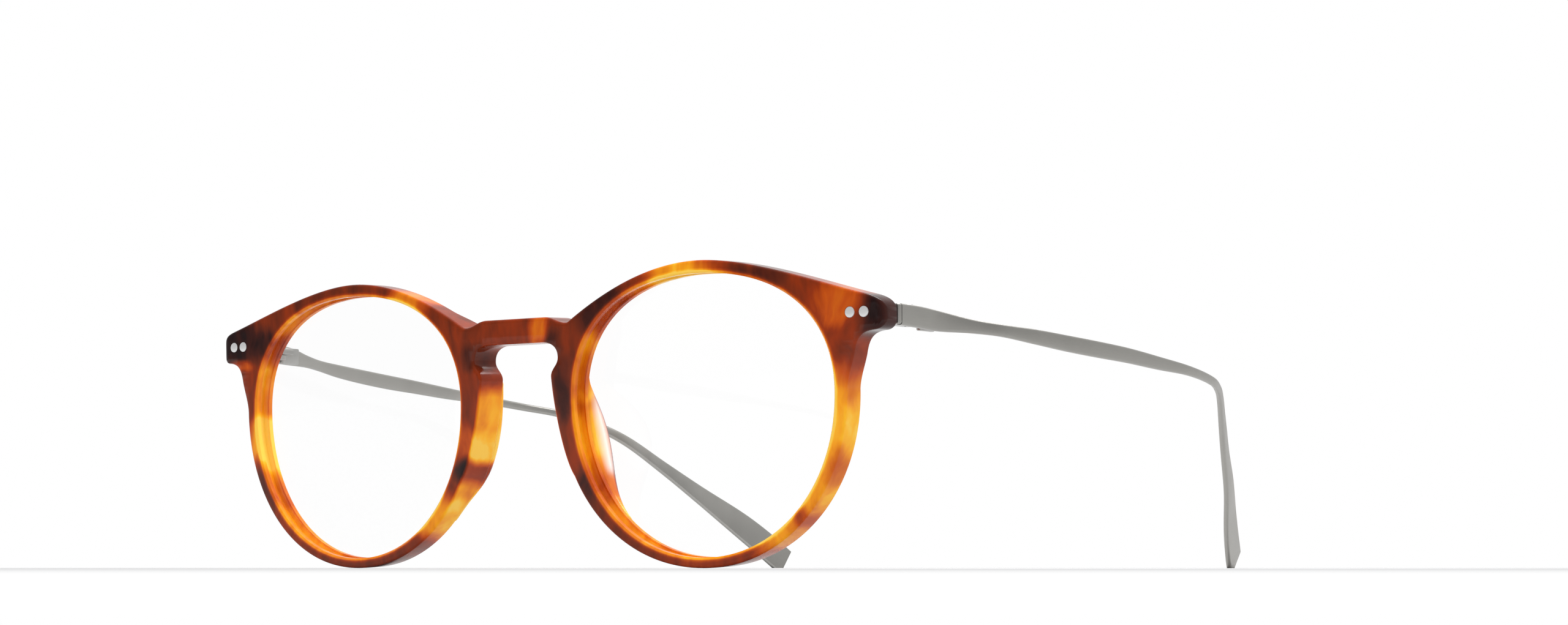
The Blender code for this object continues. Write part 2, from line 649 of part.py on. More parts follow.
build_front()
for side_name, side_sign in SIDES.items():
    build_pad(side_name, side_sign)
    build_lens(side_name, side_sign)
    build_front_hinge(side_name, side_sign)
    build_temple_hinge(side_name, side_sign)
    build_screw(side_name, side_sign)
    for rivet_place, rivet_x in rivet_places():
        build_rivet(side_name, side_sign, rivet_place, rivet_x)
    build_temple(side_name, side_sign)
OFFSET = stand_on_origin()
for side_name, side_sign in SIDES.items():
    put_origin_on_axis(side_name, side_sign, OFFSET)
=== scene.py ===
import json
import math

import bmesh
import bpy
from mathutils import Matrix, Vector


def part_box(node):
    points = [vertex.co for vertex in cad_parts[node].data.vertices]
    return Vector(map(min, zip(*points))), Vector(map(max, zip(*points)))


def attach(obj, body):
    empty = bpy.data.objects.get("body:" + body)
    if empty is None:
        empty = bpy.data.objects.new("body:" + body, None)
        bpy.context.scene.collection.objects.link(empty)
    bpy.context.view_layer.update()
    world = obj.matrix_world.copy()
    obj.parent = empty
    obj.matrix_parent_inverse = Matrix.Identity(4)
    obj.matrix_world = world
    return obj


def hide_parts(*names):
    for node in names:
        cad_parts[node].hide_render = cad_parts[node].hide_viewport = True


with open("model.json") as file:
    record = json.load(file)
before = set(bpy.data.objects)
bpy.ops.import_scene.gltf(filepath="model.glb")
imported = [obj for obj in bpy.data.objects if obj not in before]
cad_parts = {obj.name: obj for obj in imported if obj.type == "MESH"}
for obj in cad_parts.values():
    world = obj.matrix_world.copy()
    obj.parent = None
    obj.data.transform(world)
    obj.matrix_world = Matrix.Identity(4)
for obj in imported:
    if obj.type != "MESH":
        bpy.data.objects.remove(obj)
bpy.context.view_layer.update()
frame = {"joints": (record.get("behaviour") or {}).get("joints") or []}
MM = 0.001
SIDES = {"right": 1, "left": -1}

# ==== The front =========================================================================
# One 4 mm sheet of cellulose acetate, cut to its outline, grooved for the lenses, bent to a
# slight wrap and tumbled until every outer edge is round. It leans back a little, because
# the glasses stand on the bottoms of its two rims.

EYE_WIDTH = 47.0 * MM
EYE_HEIGHT = 42.2 * MM
BRIDGE_GAP = 23.0 * MM
RIM_BOTTOM = 1.55 * MM
RIM_TOP = 1.95 * MM
RIM_SIDE = 2.1 * MM
SHEET = 4.0 * MM
BRIDGE_SWELL = 1.7 * MM
WRAP_RADIUS = 760.0 * MM
LEAN = math.radians(2.4)
BAR_DROP = 7.15 * MM
BAR_HEIGHT = 3.9 * MM
KEYHOLE_HALF = 8.5 * MM
KEYHOLE_HEIGHT = 5.3 * MM
KEYHOLE_PINCH = 1.4 * MM
END_HEIGHT = 5.3 * MM
END_CORNER = 1.9 * MM
PAD_HEIGHT = 15.4 * MM
TUMBLED_EDGE = 0.42 * MM
END_ROLL = 1.7 * MM
EYE_CHAMFER = 0.26 * MM
GROOVE_DEPTH = 0.85 * MM
GROOVE_FRONT = 1.0 * MM
FIT_GAP = 0.15 * MM
FINE = 3

front_low, front_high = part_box("front_frame")
plate_low, plate_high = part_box("hinge_plate_right")
HALF_FRONT = front_high.x
EYE_CENTRE = BRIDGE_GAP / 2 + EYE_WIDTH / 2
EYE_WAIST = RIM_BOTTOM + 0.575 * EYE_HEIGHT
EYE_TOP = RIM_BOTTOM + EYE_HEIGHT
FRONT_TOP = EYE_TOP + RIM_TOP
END_REACH = HALF_FRONT - BRIDGE_GAP / 2 - EYE_WIDTH
HINGE_HEIGHT = (plate_low.z + plate_high.z) / 2
BAR_TOP = FRONT_TOP - BAR_DROP
BAR_UNDER = BAR_TOP - BAR_HEIGHT
PINCH = BAR_UNDER - KEYHOLE_HEIGHT
PINCH_HALF = KEYHOLE_HALF - KEYHOLE_PINCH
CHIN = (BRIDGE_GAP / 2 - 0.1 * MM, PINCH - PAD_HEIGHT)
FRONT_FOOT_Y = front_low.y + BAR_TOP * math.sin(LEAN)


def bezier(start, lead, trail, end, steps):
    """The points of one cubic curve, without its last point."""
    points = []
    for i in range(steps):
        t = i / steps
        s = 1 - t
        points.append(tuple(s**3 * a + 3 * s * s * t * b + 3 * s * t * t * c + t**3 * d
                            for a, b, c, d in zip(start, lead, trail, end)))
    return points


def eye_loop(side, steps=11 * FINE):
    """The edge of one eye opening: u across, w up from the bottom of the rims."""
    half, up, down = EYE_WIDTH / 2, EYE_TOP - EYE_WAIST, EYE_WAIST - RIM_BOTTOM
    outer, top, inner, bottom = (half, 0), (0, up), (-half, 0), (0, -down)
    high, low = 0.62, 0.575
    loop = bezier(outer, (half, up * high), (half * high, up), top, steps)
    loop += bezier(top, (-half * high, up), (-half, up * high), inner, steps)
    loop += bezier(inner, (-half, -down * low), (-half * low, -down), bottom, steps)
    loop += bezier(bottom, (half * low, -down), (half, -down * low), outer, steps)
    return [(side * (EYE_CENTRE + u), EYE_WAIST + w) for u, w in loop]


def under_nose(steps):
    """The rim's edge from its bottom up to the chin of the pad."""
    return bezier((EYE_CENTRE, 0.0), (EYE_CENTRE - 0.5 * EYE_WIDTH / 2, 0.0),
                  (CHIN[0] + 3.6 * MM, CHIN[1] - 7.3 * MM), CHIN, steps)


def nose_side(steps):
    """The edge beside the nose, from the chin of the pad up to the keyhole."""
    return bezier(CHIN, (CHIN[0] - 2.0 * MM, CHIN[1] + 0.16 * PAD_HEIGHT),
                  (PINCH_HALF + 0.4 * MM, PINCH - 0.32 * PAD_HEIGHT), (PINCH_HALF, PINCH), steps)


def half_outline():
    """The +X half of the outline, from the middle of the bar's top, clockwise."""
    apex, bottom = (EYE_CENTRE, FRONT_TOP), (EYE_CENTRE, 0.0)
    bar_end = (PINCH_HALF - 1.2 * MM, BAR_TOP)
    notch = (BRIDGE_GAP / 2 - 0.95 * MM, BAR_TOP - 0.95 * MM)
    end_top = HINGE_HEIGHT + END_HEIGHT / 2
    end_low = HINGE_HEIGHT - END_HEIGHT / 2
    brow = (HALF_FRONT - 1.5 * END_CORNER, end_top)
    side_top = (HALF_FRONT, end_top - 1.25 * END_CORNER)
    side_low = (HALF_FRONT, end_low + 0.85 * END_CORNER)
    under = (HALF_FRONT - 0.9 * END_CORNER, end_low)
    waist = (HALF_FRONT - END_REACH + RIM_SIDE, EYE_WAIST)
    fillet = (waist[0] + 1.3 * MM, end_low - 3.3 * MM)
    pinch = (PINCH_HALF, PINCH)
    bulge = (KEYHOLE_HALF, PINCH + 0.55 * KEYHOLE_HEIGHT)
    bar_low = (KEYHOLE_HALF - 3.2 * MM, BAR_UNDER)
    path = bezier((0.0, BAR_TOP), (0.0, BAR_TOP), bar_end, bar_end, 4 * FINE)
    path += bezier(bar_end, (bar_end[0] + 1.8 * MM, BAR_TOP),
                   (notch[0] - 1.6 * MM, notch[1] - 0.3 * MM), notch, 5 * FINE)
    path += bezier(notch, (notch[0] + 6.8 * MM, notch[1] + 4.2 * MM),
                   (apex[0] - 9.2 * MM, FRONT_TOP), apex, 11 * FINE)
    path += bezier(apex, (apex[0] + 8.8 * MM, FRONT_TOP),
                   (brow[0] - 8.6 * MM, brow[1] + 2.3 * MM), brow, 13 * FINE)
    path += bezier(brow, (brow[0] + 1.9 * MM, brow[1] - 0.5 * MM),
                   (HALF_FRONT, side_top[1] + 1.1 * MM), side_top, 5 * FINE)
    path += bezier(side_top, side_top, side_low, side_low, 2 * FINE)
    path += bezier(side_low, (HALF_FRONT, side_low[1] - 1.0 * MM),
                   (under[0] + 1.0 * MM, end_low), under, 4 * FINE)
    path += bezier(under, (under[0] - 2.1 * MM, end_low - 0.2 * MM),
                   (fillet[0] + 0.4 * MM, fillet[1] + 2.2 * MM), fillet, 6 * FINE)
    path += bezier(fillet, (fillet[0] - 0.4 * MM, fillet[1] - 1.6 * MM),
                   (waist[0] + 0.1 * MM, waist[1] + 1.6 * MM), waist, 3 * FINE)
    path += bezier(waist, (waist[0], 0.45 * EYE_WAIST),
                   (EYE_CENTRE + 0.6 * (waist[0] - EYE_CENTRE), 0.0), bottom, 18 * FINE)
    path += under_nose(12 * FINE) + nose_side(8 * FINE)
    path += bezier(pinch, (PINCH_HALF, PINCH + 1.3 * MM),
                   (KEYHOLE_HALF, bulge[1] - 1.2 * MM), bulge, 4 * FINE)
    path += bezier(bulge, (KEYHOLE_HALF, bulge[1] + 1.7 * MM),
                   (bar_low[0] + 1.7 * MM, BAR_UNDER), bar_low, 5 * FINE)
    path += bezier(bar_low, bar_low, (0.0, BAR_UNDER), (0.0, BAR_UNDER), 3 * FINE)
    return path + [(0.0, BAR_UNDER)]


def from_front(u, w, depth):
    """A place on the wrapped and leaning front, depth behind its front face."""
    back = depth + u * u / (2 * WRAP_RADIUS)
    return Vector((u, FRONT_FOOT_Y + back * math.cos(LEAN) - w * math.sin(LEAN),
                   back * math.sin(LEAN) + w * math.cos(LEAN)))


def smooth(share):
    """A soft step from 0 to 1."""
    share = min(1.0, max(0.0, share))
    return share * share * (3 - 2 * share)


EYE_POINTS = [Vector(point) for point in eye_loop(1)]


def swell(u, w):
    """How much thicker the sheet is behind the bridge and beside the nose."""
    sideways = smooth((BRIDGE_GAP / 2 + 4.5 * MM - abs(u)) / (5 * MM))
    upwards = smooth((w - CHIN[1] + 6 * MM) / (6 * MM))
    if sideways * upwards == 0:
        return 0.0
    place = Vector((abs(u), w))
    nearest = min((place - point).length for point in EYE_POINTS)
    return BRIDGE_SWELL * sideways * upwards * smooth(nearest / (2.2 * MM))


def inset(loop, distance):
    """A clockwise loop moved towards its inside, or an anticlockwise one towards its outside."""
    moved = []
    for i, (u, w) in enumerate(loop):
        after, before = loop[(i + 1) % len(loop)], loop[i - 1]
        along = Vector((after[0] - before[0], after[1] - before[1])).normalized()
        moved.append((u + along.y * distance, w - along.x * distance))
    return moved


def add_rows(work, loop, profile, layer):
    """A band of faces along a loop: each row of the profile is (inset, depth, painted light)."""
    rows = []
    for distance, depth, painted_light_and_shade in profile:
        row = [work.verts.new((u, w, depth)) for u, w in inset(loop, distance)]
        for vertex in row:
            vertex[layer] = painted_light_and_shade
        rows.append(row)
    count = len(loop)
    for row, following in zip(rows, rows[1:]):
        for i in range(count):
            j = (i + 1) % count
            work.faces.new((row[i], row[j], following[j], following[i]))
    return rows[0], rows[-1]


def fill_between(work, loops):
    """Closes one flat face of the sheet between its outline and its two openings."""
    edges = []
    for row in loops:
        edges += [work.edges.get((row[i - 1], row[i])) for i in range(len(row))]
    result = bmesh.ops.triangle_fill(work, use_beauty=True, edges=edges)
    return [item for item in result["geom"] if isinstance(item, bmesh.types.BMFace)]


def round_edge(radius, steps=4):
    """(inset, depth) down a tumbled edge, from the flat face to the side wall."""
    turns = [math.pi / 2 * i / steps for i in range(steps + 1)]
    return [(radius * (1 - math.sin(a)), radius * (1 - math.cos(a))) for a in turns]


def add_piece(name, mesh, material, body, nodes):
    """Shows a finished mesh in place of its CAD nodes, moving with their body."""
    piece = bpy.data.objects.new(name, mesh)
    bpy.context.scene.collection.objects.link(piece)
    mesh.materials.clear()
    mesh.materials.append(material)
    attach(piece, body)
    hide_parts(*nodes)
    return piece


def finish_mesh(work, name, crease=35):
    """Turns a bmesh into a smooth-shaded mesh with its hard edges kept."""
    bmesh.ops.recalc_face_normals(work, faces=work.faces)
    mesh = bpy.data.meshes.new(name)
    work.to_mesh(mesh)
    work.free()
    mesh.shade_smooth()
    mesh.set_sharp_from_angle(angle=math.radians(crease))
    return mesh


def cut(mesh, tools, operation="DIFFERENCE", crease=35):
    """The mesh after exact booleans with other meshes."""
    holder = bpy.data.objects.new("holder", mesh)
    bpy.context.scene.collection.objects.link(holder)
    helpers = []
    for tool in tools:
        helper = bpy.data.objects.new("helper", tool)
        bpy.context.scene.collection.objects.link(helper)
        step = holder.modifiers.new("cut", "BOOLEAN")
        step.operation, step.object, step.solver = operation, helper, "EXACT"
        helpers.append(helper)
    bpy.context.view_layer.update()
    result = bpy.data.meshes.new_from_object(holder.evaluated_get(bpy.context.evaluated_depsgraph_get()))
    result.name = mesh.name
    for helper in helpers + [holder]:
        bpy.data.objects.remove(helper, do_unlink=True)
    result.shade_smooth()
    result.set_sharp_from_angle(angle=math.radians(crease))
    return result


def lathe(name, start, along, profile, segments=40):
    """A turned mesh: each (radius, distance) of the profile, about the line from start."""
    start, along = Vector(start), Vector(along).normalized()
    turn = along.to_track_quat("Z", "Y")
    work = bmesh.new()
    rows = []
    for radius, distance in profile:
        row = []
        for i in range(segments):
            angle = 2 * math.pi * i / segments
            local = Vector((radius * math.cos(angle), radius * math.sin(angle), distance))
            row.append(work.verts.new(start + turn @ local))
        rows.append(row)
    for row, following in zip(rows, rows[1:]):
        for i in range(segments):
            j = (i + 1) % segments
            work.faces.new((row[i], row[j], following[j], following[i]))
    work.faces.new(rows[0])
    work.faces.new(rows[-1])
    return finish_mesh(work, name)


def block(name, low, high, broken=0.0):
    """A box between two corners, its edges broken where a width is given."""
    work = bmesh.new()
    size = [high[i] - low[i] for i in range(3)]
    middle = [(high[i] + low[i]) / 2 for i in range(3)]
    bmesh.ops.create_cube(work, size=1.0, matrix=Matrix.Translation(middle) @ Matrix.Diagonal((*size, 1)))
    if broken:
        bmesh.ops.bevel(work, geom=work.edges[:], offset=broken, segments=2, affect="EDGES", profile=0.5)
    return finish_mesh(work, name)


def front_mesh():
    """Outline band, two eye bands with their lens grooves, and the two faces of the sheet."""
    work = bmesh.new()
    layer = work.verts.layers.float.new("painted_light_and_shade")
    edge = round_edge(TUMBLED_EDGE)
    # Painted light: the outline's rounded edge is made amber, strongly only beside the nose
    outer = [(d, z, 1.0 - d / TUMBLED_EDGE) for d, z in edge]
    outer += [(d, SHEET - z, 1.0 - d / TUMBLED_EDGE) for d, z in reversed(edge)]
    groove_back = SHEET - GROOVE_FRONT
    # The third value is painted light on the eye walls and in the lens grooves
    eye = [(0.8 * MM, 0.0, 0.0), (0.5 * MM, 0.0, 0.25), (EYE_CHAMFER, 0.0, 0.9),
           (0.0, EYE_CHAMFER, 1.0), (0.0, GROOVE_FRONT, 0.9), (0.4 * GROOVE_DEPTH, GROOVE_FRONT, 1.0),
           (GROOVE_DEPTH, GROOVE_FRONT + 0.4 * MM, 1.1), (GROOVE_DEPTH, groove_back - 0.4 * MM, 1.1),
           (0.4 * GROOVE_DEPTH, groove_back, 1.0), (0.0, groove_back, 0.9),
           (0.0, SHEET - EYE_CHAMFER, 1.0), (EYE_CHAMFER, SHEET, 0.9), (0.5 * MM, SHEET, 0.25),
           (0.8 * MM, SHEET, 0.0)]
    path = half_outline()
    outline = path + [(-u, w) for u, w in reversed(path[1:-1])]
    bands = [add_rows(work, outline, outer, layer)]
    for vertex in work.verts:
        u, w = abs(vertex.co.x), vertex.co.y
        beside_nose = smooth((16 * MM - u) / (4 * MM)) * smooth((PINCH - w) / (3 * MM))
        vertex[layer] *= 0.08 + 1.0 * beside_nose
    for side in SIDES.values():
        loop = eye_loop(side)
        if side < 0:
            loop.reverse()
        bands.append(add_rows(work, loop, eye, layer))
    faces = fill_between(work, [band[0] for band in bands])
    faces += fill_between(work, [band[1] for band in bands])
    stops = [(Vector((i * 2.0 * MM, 0, 0)), (1, 0, 0)) for i in range(-33, 34)]
    stops += [(Vector((side * (HALF_FRONT - d * MM), 0, 0)), (1, 0, 0))
              for side in (1, -1) for d in (1.2, 0.85, 0.6)]
    stops += [(Vector(((i + 0.5) * MM, 0, 0)), (1, 0, 0)) for i in range(-16, 16)]
    stops += [(Vector((0, CHIN[1] + i * MM, 0)), (0, 1, 0)) for i in range(-6, 27)]
    for place, across in stops:
        geometry = set(faces)
        for face in faces:
            geometry.update(face.edges)
            geometry.update(face.verts)
        result = bmesh.ops.bisect_plane(work, geom=list(geometry), dist=0.001 * MM,
                                        plane_co=place, plane_no=across)
        faces = [item for item in result["geom"] if isinstance(item, bmesh.types.BMFace)]
    for vertex in work.verts:
        u, w, depth = vertex.co
        thicker = swell(u, w) * smooth((depth - SHEET / 2) / (0.3 * SHEET))
        share = min(1.0, max(0.0, (abs(u) - HALF_FRONT + END_ROLL) / END_ROLL))
        roll = END_ROLL * (1 - math.sqrt(1 - share * share)) * 0.8
        vertex.co = from_front(u, w, depth + thicker + roll * (1 - depth / SHEET))
    return finish_mesh(work, "acetate_front", 32)


def make_group(name, inputs, outputs):
    """An empty node group with named inputs (name, type, value) and outputs (name, type)."""
    group = bpy.data.node_groups.new(name, "ShaderNodeTree")
    for label, kind, value in inputs:
        socket = group.interface.new_socket(label, in_out="INPUT", socket_type="NodeSocket" + kind)
        socket.default_value = value
    for label, kind in outputs:
        group.interface.new_socket(label, in_out="OUTPUT", socket_type="NodeSocket" + kind)
    return group


def node(tree, kind, values=None, **settings):
    """Adds a node, sets its properties, and sets or links its inputs."""
    made = tree.nodes.new("ShaderNode" + kind if not kind.startswith("Node") else kind)
    for key, value in settings.items():
        setattr(made, key, value)
    for key, value in (values or {}).items():
        if isinstance(value, bpy.types.NodeSocket):
            tree.links.new(value, made.inputs[key])
        else:
            made.inputs[key].default_value = value
    return made


def maths(tree, operation, first, second=0.0, third=0.0, clamp=False):
    made = node(tree, "Math", {0: first, 1: second, 2: third}, operation=operation, use_clamp=clamp)
    return made.outputs[0]


def ramp(tree, factor, stops, ease="LINEAR"):
    """A colour ramp through (position, linear colour) stops."""
    made = node(tree, "ValToRGB", {"Fac": factor})
    made.color_ramp.interpolation = ease
    elements = made.color_ramp.elements
    while len(elements) > 1:
        elements.remove(elements[-1])
    elements[0].position, elements[0].color = stops[0][0], (*stops[0][1], 1)
    for position, colour in stops[1:]:
        elements.new(position).color = (*colour, 1)
    return made.outputs["Color"]


# The tones of the sheet, from its near-black streaks to the honey that light comes through
ACETATE_TONES = ((0.0, (0.016, 0.006, 0.006)), (0.15, (0.055, 0.011, 0.007)),
                 (0.3, (0.145, 0.022, 0.007)), (0.45, (0.300, 0.034, 0.005)),
                 (0.6, (0.540, 0.080, 0.005)), (0.75, (0.740, 0.190, 0.006)),
                 (0.86, (0.930, 0.350, 0.008)), (0.94, (1.000, 0.500, 0.020)), (1.0, (1.000, 0.620, 0.080)))

# Where clouds lie in this sheet: across, up, half width, half height (mm), lighter or darker
FRONT_CLOUDS = (
    (32, 44.5, 8, 3.5, 0.50), (45, 43, 6, 3.5, -0.16), (58.5, 38.5, 4.5, 4.5, 0.26),
    (66.0, 36, 3.5, 6, -0.30), (57.5, 31.5, 3, 3, 0.06), (59, 22, 4, 7, 0.54),
    (55.5, 13, 4, 7, 0.50), (48, 5, 6, 5, 0.42), (35, 0.5, 8, 3, 0.08), (18, 39, 6, 5, -0.24),
    (12, 31, 4, 4, -0.08), (9.4, 27, 1.6, 5, -0.24), (14, 12.5, 4, 5, -0.20), (10.5, 21, 3, 4, 0.04),
    (4.8, 36.5, 2.6, 3, 0.34), (-8, 33, 2.5, 2.5, -0.16), (8.5, 35, 2.2, 2.2, -0.12),
    (-4, 37, 5, 3, 0.05), (-11, 20, 3, 3.5, 0.22), (-11.4, 15, 2.6, 2.6, -0.40), (-17, 8, 5, 4, 0.50),
    (-32, 1, 10, 3, -0.03), (-57.7, 20.5, 3.5, 4.5, 0.50), (-55, 12.5, 4, 3.5, -0.14),
    (-58.5, 27, 3, 4, -0.06), (-56, 36, 4, 4, -0.30), (-40, 45, 10, 3, -0.06), (-22, 42, 5, 4, 0.36),
    (-64, 37, 6, 6, -0.34), (-63, 32.6, 3.5, 1.4, 0.34),
)


# How far painted light and shade shift the acetate's tone
PAINTED_LIGHT_SCALE = 0.45


def acetate_group():
    """Cloudy, streaked acetate: its colour with painted light and shade added, its roughness and the height
    of its fine ripple.
    """
    group = make_group("acetate_clouds",
                       (("Base Tone", "Float", 0.36), ("Painted Light And Shade", "Float", 0.0), ("Streaks", "Float", 0.3)),
                       (("Colour", "Color"), ("Roughness", "Float"), ("Height", "Float")))
    start = node(group, "NodeGroupInput").outputs
    place = node(group, "TexCoord").outputs["Object"]
    drift = node(group, "TexNoise", {"Vector": place, "Scale": 95.0, "Detail": 2.0})
    shift = node(group, "VectorMath", {0: drift.outputs["Color"], 1: (0.5, 0.5, 0.5)}, operation="SUBTRACT")
    shift = node(group, "VectorMath", {0: shift.outputs[0], "Scale": 7.0 * MM}, operation="SCALE")
    warped = node(group, "VectorMath", {0: place, 1: shift.outputs[0]}, operation="ADD").outputs[0]
    tone = start["Base Tone"]
    for across, up, half_width, half_height, change in FRONT_CLOUDS:
        centred = node(group, "VectorMath", {0: warped, 1: (across * MM, 0, up * MM)},
                       operation="SUBTRACT").outputs[0]
        scaled = node(group, "VectorMath",
                      {0: centred, 1: (1 / (half_width * MM), 0, 1 / (half_height * MM))},
                      operation="MULTIPLY").outputs[0]
        reach = node(group, "VectorMath", {0: scaled}, operation="LENGTH").outputs["Value"]
        cloud = node(group, "MapRange", {"Value": reach, "From Min": 1.25, "From Max": 0.35,
                                         "To Min": 0.0, "To Max": change}, interpolation_type="SMOOTHSTEP")
        tone = maths(group, "ADD", tone, cloud.outputs["Result"])
    stretched = node(group, "Mapping", {"Vector": warped, "Rotation": (0, math.radians(35), 0),
                                        "Scale": (1.0, 0.5, 0.28)})
    streaks = node(group, "TexNoise", {"Vector": stretched.outputs[0], "Scale": 420.0, "Detail": 3.0,
                                       "Roughness": 0.55})
    streaks = maths(group, "SUBTRACT", streaks.outputs["Fac"], 0.5)
    tone = maths(group, "MULTIPLY_ADD", streaks, start["Streaks"], tone)
    # Painted light and shade from the edge attribute shift the tone
    tone = maths(group, "MULTIPLY_ADD", start["Painted Light And Shade"], PAINTED_LIGHT_SCALE, tone, clamp=True)
    colour = ramp(group, tone, ACETATE_TONES)
    polish = node(group, "TexNoise", {"Vector": place, "Scale": 260.0, "Detail": 4.0})
    roughness = node(group, "MapRange", {"Value": polish.outputs["Fac"], "To Min": 0.07, "To Max": 0.17})
    ripple = node(group, "TexNoise", {"Vector": place, "Scale": 700.0, "Detail": 2.0})
    end = node(group, "NodeGroupOutput")
    group.links.new(colour, end.inputs["Colour"])
    group.links.new(roughness.outputs["Result"], end.inputs["Roughness"])
    group.links.new(ripple.outputs["Fac"], end.inputs["Height"])
    return group


def new_material(name):
    material = bpy.data.materials.new(name)
    material.use_nodes = True
    tree = material.node_tree
    return material, tree, tree.nodes["Principled BSDF"]


def bump(tree, shader, height, depth, strength):
    made = node(tree, "Bump", {"Height": height, "Distance": depth, "Strength": strength})
    tree.links.new(made.outputs["Normal"], shader.inputs["Normal"])


ACETATE_GROUP = acetate_group()


def acetate_material(name, base_tone, streaks):
    """Polished, slightly translucent acetate; the amber at its edges is painted light, and the white strip on
    a pad is a painted highlight.
    """
    material, tree, shader = new_material(name)
    # The edge attribute holds painted light, and painted shade on the pads' ridges
    edge = node(tree, "Attribute", attribute_name="painted_light_and_shade").outputs["Fac"]
    clouds = node(tree, "Group", node_tree=ACETATE_GROUP)
    clouds.inputs["Base Tone"].default_value = base_tone
    clouds.inputs["Streaks"].default_value = streaks
    tree.links.new(edge, clouds.inputs["Painted Light And Shade"])
    # A painted highlight: white is mixed into the colour where this attribute is set
    painted_highlight = node(tree, "Attribute", attribute_name="painted_highlight").outputs["Fac"]
    colour_with_painted_highlight = node(tree, "Mix", {"Factor": painted_highlight, "A": clouds.outputs["Colour"], "B": (0.93, 0.92, 0.90, 1)},
                    data_type="RGBA")
    tree.links.new(colour_with_painted_highlight.outputs["Result"], shader.inputs["Base Color"])
    tree.links.new(clouds.outputs["Roughness"], shader.inputs["Roughness"])
    bump(tree, shader, clouds.outputs["Height"], 0.02 * MM, 0.12)
    shader.inputs["IOR"].default_value = 1.49
    shader.inputs["Specular IOR Level"].default_value = 0.20
    shader.inputs["Subsurface Weight"].default_value = 0.08
    shader.inputs["Subsurface Radius"].default_value = (1.0, 0.3, 0.05)
    shader.inputs["Subsurface Scale"].default_value = 1.2 * MM
    return material


TORTOISE = acetate_material("tortoise_acetate", base_tone=0.36, streaks=0.42)

front = front_mesh()
cutters = []
for name, side in SIDES.items():
    low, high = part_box("hinge_plate_" + name)
    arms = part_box("temple_hinge_" + name)[0].y
    cutters.append(block("seat", low - Vector((FIT_GAP, FIT_GAP, FIT_GAP)),
                         Vector((high.x + FIT_GAP, arms + 6 * MM, high.z + FIT_GAP))))
    for place in ("inner", "outer"):
        low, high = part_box("rivet_" + place + "_" + name)
        middle = (low + high) / 2
        radius = (high.x - low.x) / 2 + 0.03 * MM
        cutters.append(lathe("hole", (middle.x, low.y - 2 * MM, middle.z), (0, 1, 0),
                             ((radius, 0.0), (radius, 4.0 * MM))))
front = cut(front, cutters, crease=32)
front_piece = add_piece("front", front, TORTOISE, "front", ["front_frame"])
even = front_piece.modifiers.new("even_faces", "WEIGHTED_NORMAL")
even.keep_sharp = True
even.weight = 60

# ==== Nose pads ========================================================================
# Two blocks of lighter acetate, bonded behind the nose side of each rim, carved to the
# side of a nose and polished with the front until their back edges are soft.

PAD_DEPTH = 4.6 * MM
PAD_LIFT = 0.5 * MM
# The pad corner that carries a painted highlight, a white strip
PAINTED_HIGHLIGHT_CORNER = 8
# Pad corners darkened with painted shade along the ridge
RIDGE_CORNERS = (6, 7)
RIDGE_SHADE = -1.2
HONEY = acetate_material("honey_acetate", base_tone=0.90, streaks=0.40)


def eye_edge(height):
    """How far out the nose side of the eye opening lies at a height."""
    nose = [point for point in eye_loop(1) if point[0] < EYE_CENTRE]
    for (u0, w0), (u1, w1) in zip(nose, nose[1:]):
        if w1 <= height <= w0:
            return u0 + (u1 - u0) * (w0 - height) / (w0 - w1)
    return EYE_CENTRE - EYE_WIDTH / 2


def loft(work, rings):
    """A closed skin over rings of equal length, capped at both ends."""
    rows = [[work.verts.new(point) for point in ring] for ring in rings]
    count = len(rings[0])
    for row, following in zip(rows, rows[1:]):
        for i in range(count):
            j = (i + 1) % count
            work.faces.new((row[i], row[j], following[j], following[i]))
    work.faces.new(rows[0])
    work.faces.new(rows[-1])


def pad_mesh(side):
    """A wedge from under the keyhole to below the chin, with its ridge beside the eye."""
    nose = under_nose(12 * FINE)[8 * FINE:] + nose_side(8 * FINE) + [(PINCH_HALF, PINCH)]
    foot = nose[0][1]
    rings = []
    for u, w in nose:
        share = min(1.0, (w - foot) / (PINCH - foot - 0.6 * MM))
        rise = math.sin(math.pi * share ** 1.25)
        nose_root = SHEET + swell(u, w)
        nose_back = nose_root + (PAD_LIFT + 0.6 * MM) * rise
        ridge = SHEET + (PAD_LIFT + PAD_DEPTH - 0.4 * MM) * rise
        middle_back = nose_root + 0.35 * (ridge - nose_root) + PAD_LIFT * rise
        near, far = u + 0.08 * MM, eye_edge(w) - 0.1 * MM
        across = far - near
        ring = [(near, nose_root - 0.8 * MM), (near, nose_root), (near, nose_back - 0.3 * MM * rise),
                (near + 0.3 * MM, nose_back),
                (near + 0.35 * across, nose_back + 0.4 * (middle_back - nose_back)),
                (near + 0.6 * across, 0.5 * (middle_back + ridge)), (far - 0.7 * MM, ridge - 0.1 * MM * rise),
                (far - 0.25 * MM, ridge - 0.15 * MM * rise), (far, SHEET + 0.7 * (ridge - SHEET)),
                (far, SHEET + 0.1 * (ridge - SHEET)), (far - 0.1 * MM, SHEET - 0.6 * MM)]
        rings.append([from_front(side * a, w, d) for a, d in ring])
    work = bmesh.new()
    painted_highlight = work.verts.layers.float.new("painted_highlight")
    painted_light_and_shade = work.verts.layers.float.new("painted_light_and_shade")
    loft(work, rings)
    for i, vertex in enumerate(work.verts):
        station, corner = divmod(i, len(ring))
        share = station / (len(rings) - 1)
        # Painted highlight along the pad's back corner
        if corner == PAINTED_HIGHLIGHT_CORNER:
            vertex[painted_highlight] = 0.9 * smooth((share - 0.3) / 0.15) * smooth((0.92 - share) / 0.15)
        # Painted shade along the ridge beside the eye
        if corner in RIDGE_CORNERS:
            vertex[painted_light_and_shade] = RIDGE_SHADE
    return finish_mesh(work, "nose_pad", 180)


